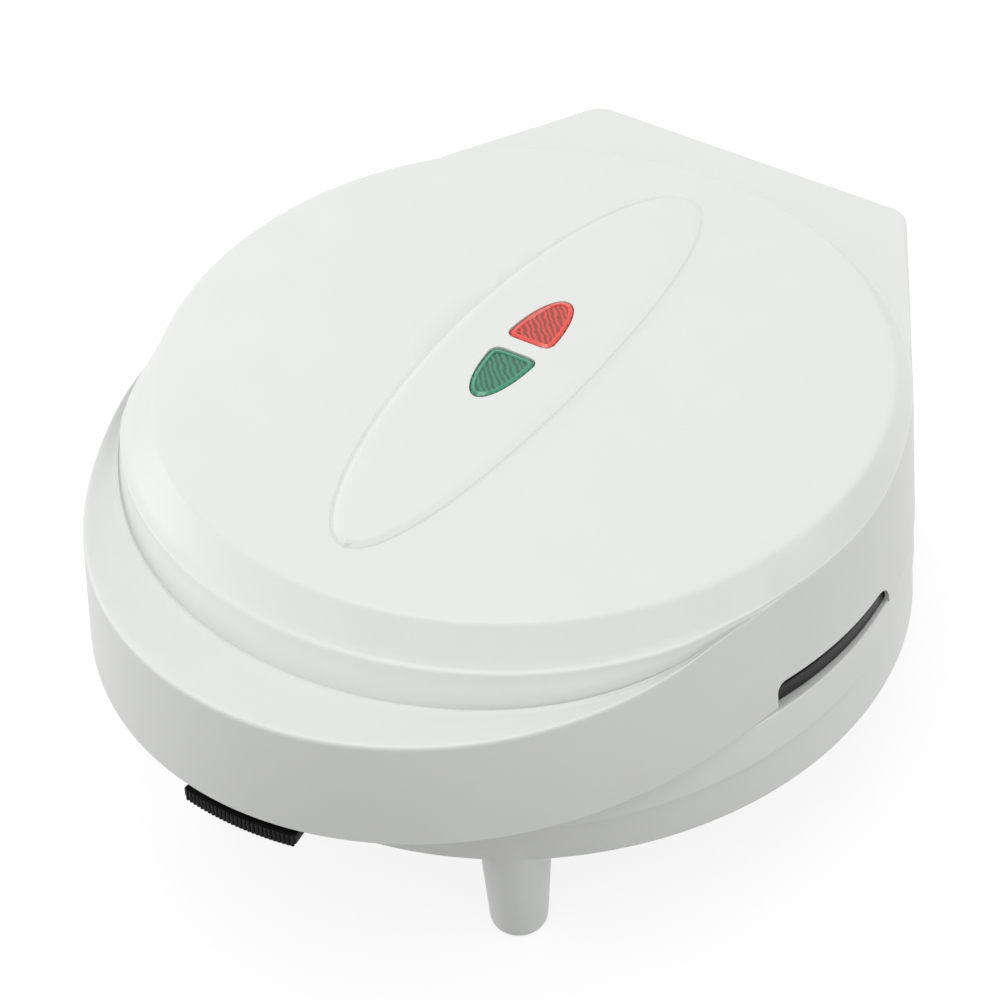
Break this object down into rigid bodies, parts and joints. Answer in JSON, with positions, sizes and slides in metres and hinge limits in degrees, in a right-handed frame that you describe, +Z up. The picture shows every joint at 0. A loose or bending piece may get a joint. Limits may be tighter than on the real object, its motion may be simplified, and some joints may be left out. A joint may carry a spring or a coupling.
{
  "type": "waffle maker",
  "caption": "Round electric waffle maker with heart-shaped cooking cavities: domed white lid, oval lamp panel, overhanging front grip with a ribbed latch, rear hinge and tapered legs.",
  "frame": {"origin": "centre of the bounding box's base, on the ground under the closed appliance", "axes": "+Y from the latch at the front to the hinge at the rear, +Z up, +X to the right"},
  "size_m": [0.1978, 0.2446, 0.1088],
  "materials": {
    "white_plastic": "satin, finely textured",
    "black_plastic": "satin",
    "dark_phenolic": "matt",
    "non_stick_coating": "satin black coating on a casting",
    "steel": "satin",
    "bright_sheet": "bright aluminised sheet",
    "red_lens": "clear tinted",
    "green_lens": "clear tinted",
    "lamp_glass": "clear",
    "lead_sleeve": "matt"
  },
  "bodies": {
    "base": {"base_shell": "white_plastic", "lower_plate": "non_stick_coating", "lower_reflector": "bright_sheet", "lower_heating_element": "steel", "lower_plate_screw_front": "steel", "lower_plate_screw_right": "steel", "lower_plate_screw_left": "steel", "hinge_pin_left": "steel", "hinge_pin_right": "steel", "terminal_block": "white_plastic", "cord_bushing": "black_plastic", "base_lead": "lead_sleeve"},
    "lid": {"lid_shell": "white_plastic", "red_lens": "red_lens", "green_lens": "green_lens", "lamp_carrier": "dark_phenolic", "thermostat": "dark_phenolic", "red_lamp": "lamp_glass", "green_lamp": "lamp_glass", "carrier_screw_front": "steel", "carrier_screw_rear": "steel", "thermal_fuse": "bright_sheet", "upper_plate": "non_stick_coating", "upper_reflector": "bright_sheet", "upper_heating_element": "steel", "latch_pin": "steel", "latch_spring": "steel", "lid_lead": "lead_sleeve", "upper_plate_screw_front": "steel", "upper_plate_screw_right": "steel", "upper_plate_screw_left": "steel"},
    "latch": {"latch_lever": "black_plastic"}
  },
  "joints": [
    {"name": "lid_hinge", "type": "hinge", "parent": "base", "child": "lid", "pos_m": [0, 0.1142, 0.0575], "axis": [-1, 0, 0], "range_deg": [0, 100]},
    {"name": "latch_pivot", "type": "hinge", "parent": "lid", "child": "latch", "pos_m": [0, -0.1122, 0.0742], "axis": [-1, 0, 0], "range_deg": [0, 6], "stiffness_Nm_per_rad": 0.05}
  ]
}
